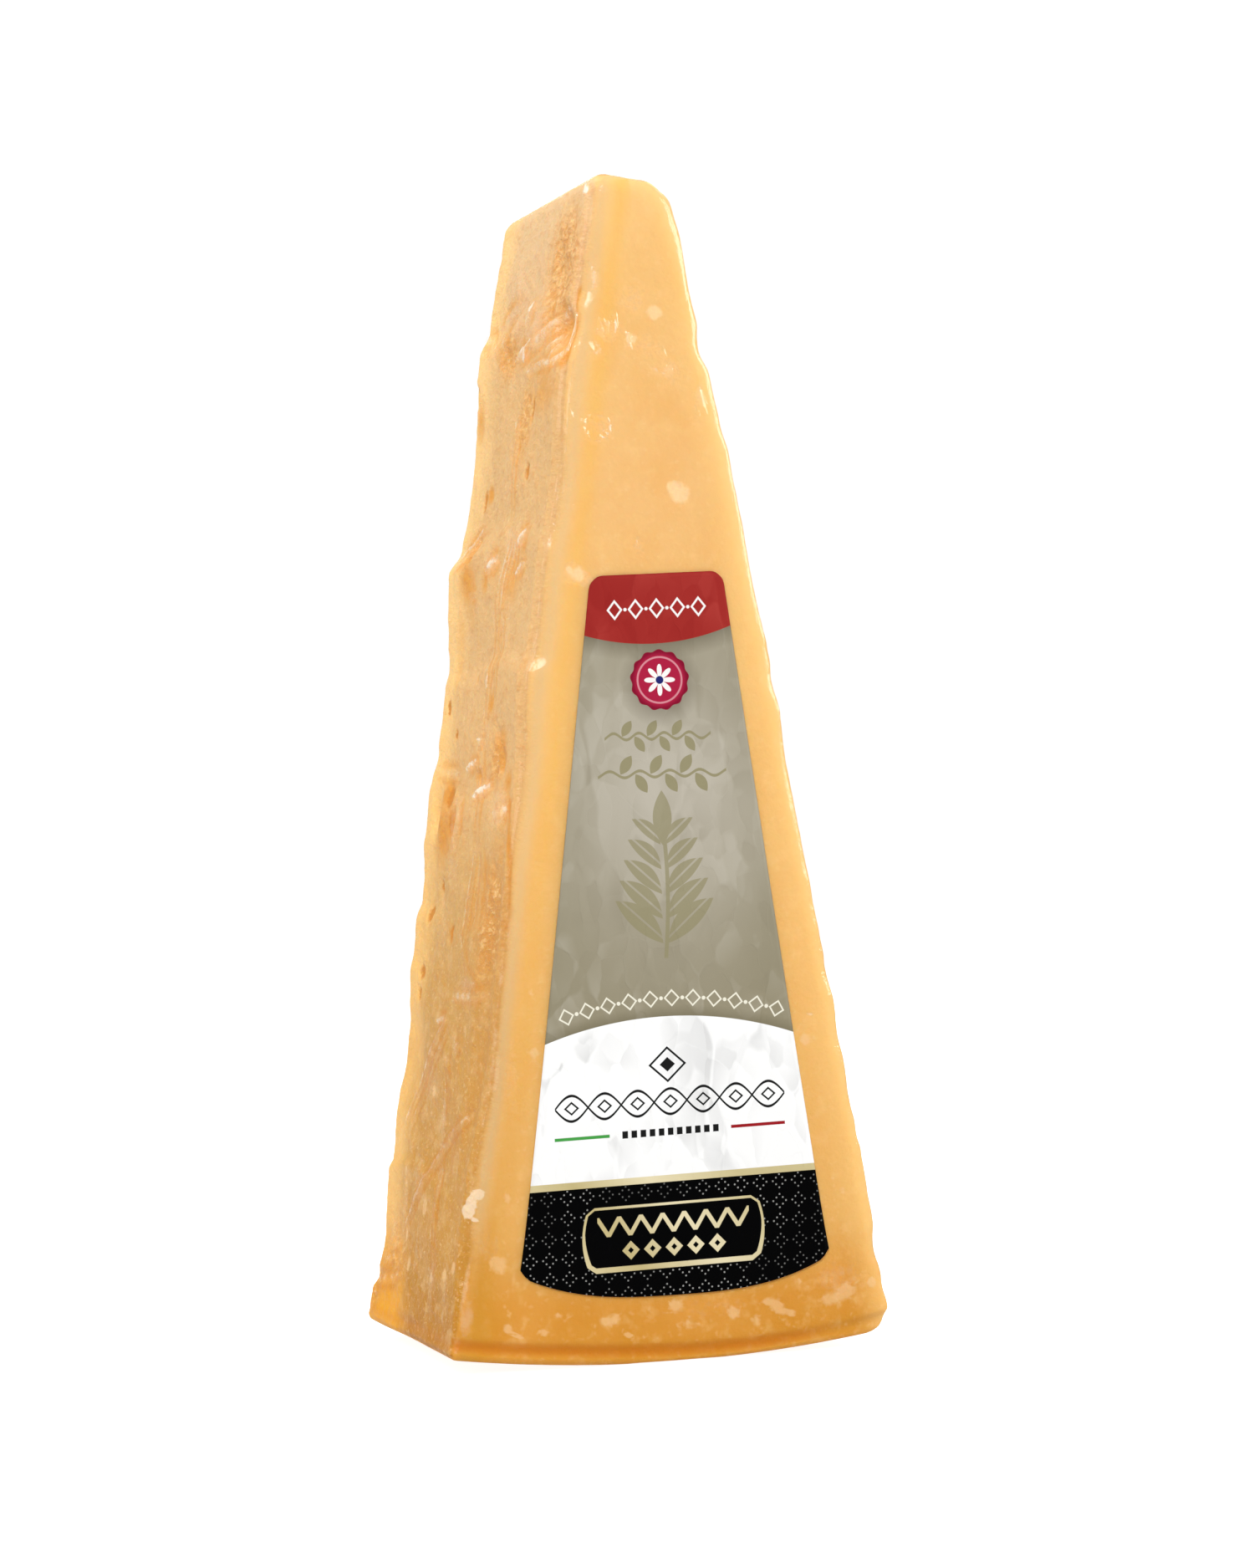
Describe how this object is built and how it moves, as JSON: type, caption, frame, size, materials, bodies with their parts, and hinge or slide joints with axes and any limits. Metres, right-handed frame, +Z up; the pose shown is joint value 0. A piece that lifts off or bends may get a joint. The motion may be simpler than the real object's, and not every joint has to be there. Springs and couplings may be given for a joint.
{
  "type": "wrapped wedge of hard cheese",
  "caption": "Tall narrow wedge of hard aged cheese, a thin slice of a wheel, in a tight clear wrap with a tapering paper label, standing on its rind.",
  "frame": {"origin": "on the ground, under the middle of the box around the object", "axes": "+Z up from the rind to the broken tip; -Y out of the labelled front face; +X to the right, seen from the front"},
  "size_m": [0.0636, 0.053, 0.1643],
  "materials": {
    "wrapped_cheese": "straw-yellow hard cheese with pale crystals under a tight glossy clear film",
    "label_paper": "slightly creased coated paper with plain fields of colour"
  },
  "bodies": {
    "root": {"wrapped_wedge": "wrapped_cheese", "label": "label_paper"}
  },
  "joints": []
}
